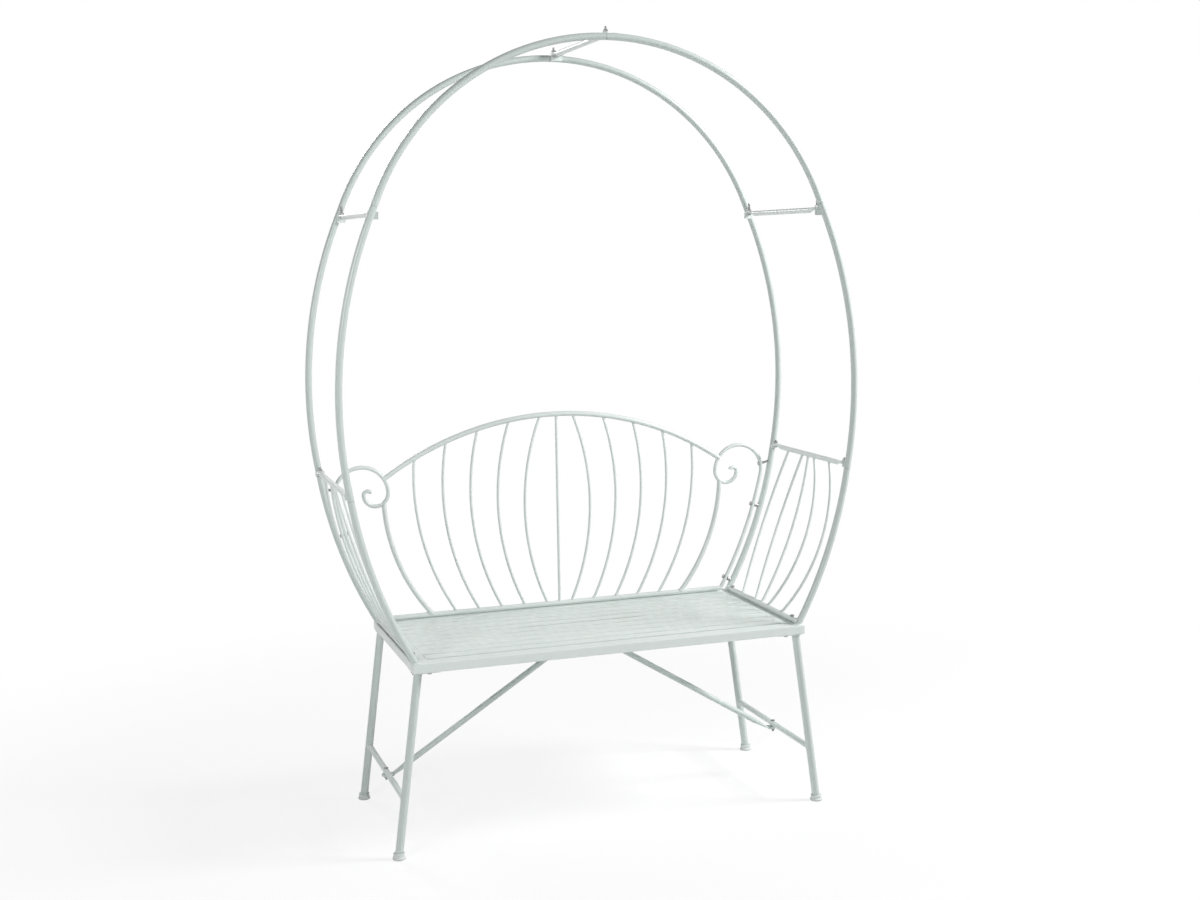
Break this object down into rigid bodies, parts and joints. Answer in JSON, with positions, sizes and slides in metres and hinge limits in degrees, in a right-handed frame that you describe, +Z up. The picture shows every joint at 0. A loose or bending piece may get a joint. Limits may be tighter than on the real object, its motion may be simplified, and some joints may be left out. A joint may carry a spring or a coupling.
{
  "type": "arbour seat",
  "caption": "Steel garden bench with scrolled backrest and barred arms under oval tube hoops that form an arbour.",
  "frame": {"origin": "on the floor, midway between the arms and midway between the front and rear hoops", "axes": "+X to the right in a front view, +Y to the rear, +Z up; the front faces -Y"},
  "size_m": [1.262, 0.46, 1.8555],
  "materials": {
    "painted_frame": "satin",
    "painted_tube": "satin",
    "zinc_bolt": "satin",
    "foot_plastic": "matte"
  },
  "bodies": {
    "root": {"arm_bottom_bar_left": "painted_frame", "arm_bottom_bar_right": "painted_frame", "arm_panel_bolts": "zinc_bolt", "arm_rail_left": "painted_frame", "arm_rail_right": "painted_frame", "arm_rods_left": "painted_frame", "arm_rods_right": "painted_frame", "backrest_arch_rail": "painted_frame", "backrest_bolts": "zinc_bolt", "backrest_bottom_rail": "painted_frame", "backrest_centre_rod": "painted_frame", "backrest_rods_left": "painted_frame", "backrest_rods_right": "painted_frame", "backrest_scroll_left": "painted_frame", "backrest_scroll_right": "painted_frame", "backrest_spacers": "zinc_bolt", "backrest_stile_left": "painted_frame", "backrest_stile_right": "painted_frame", "brace_bolts": "zinc_bolt", "brace_left": "painted_tube", "brace_right": "painted_tube", "cross_bar_bolts": "zinc_bolt", "cross_bar_tabs": "painted_frame", "foot_caps": "foot_plastic", "front_left_crown": "painted_tube", "front_left_hoop_side": "painted_tube", "front_left_leg": "painted_tube", "front_left_post": "painted_tube", "front_right_crown": "painted_tube", "front_right_hoop_side": "painted_tube", "front_right_leg": "painted_tube", "front_right_post": "painted_tube", "hex_nuts": "zinc_bolt", "hoop_spigots": "zinc_bolt", "leg_bolts": "zinc_bolt", "leg_rail_left": "painted_tube", "leg_rail_right": "painted_tube", "leg_top_plates": "painted_frame", "rear_left_crown": "painted_tube", "rear_left_hoop_side": "painted_tube", "rear_left_leg": "painted_tube", "rear_left_post": "painted_tube", "rear_right_crown": "painted_tube", "rear_right_hoop_side": "painted_tube", "rear_right_leg": "painted_tube", "rear_right_post": "painted_tube", "seat_bearer_left": "painted_frame", "seat_bearer_right": "painted_frame", "seat_centre_strap": "painted_frame", "seat_front_rail": "painted_frame", "seat_left_rail": "painted_frame", "seat_rear_rail": "painted_frame", "seat_right_rail": "painted_frame", "seat_slats": "painted_frame", "side_cross_bar_left": "painted_frame", "side_cross_bar_right": "painted_frame", "top_cross_bar": "painted_frame"}
  },
  "joints": []
}
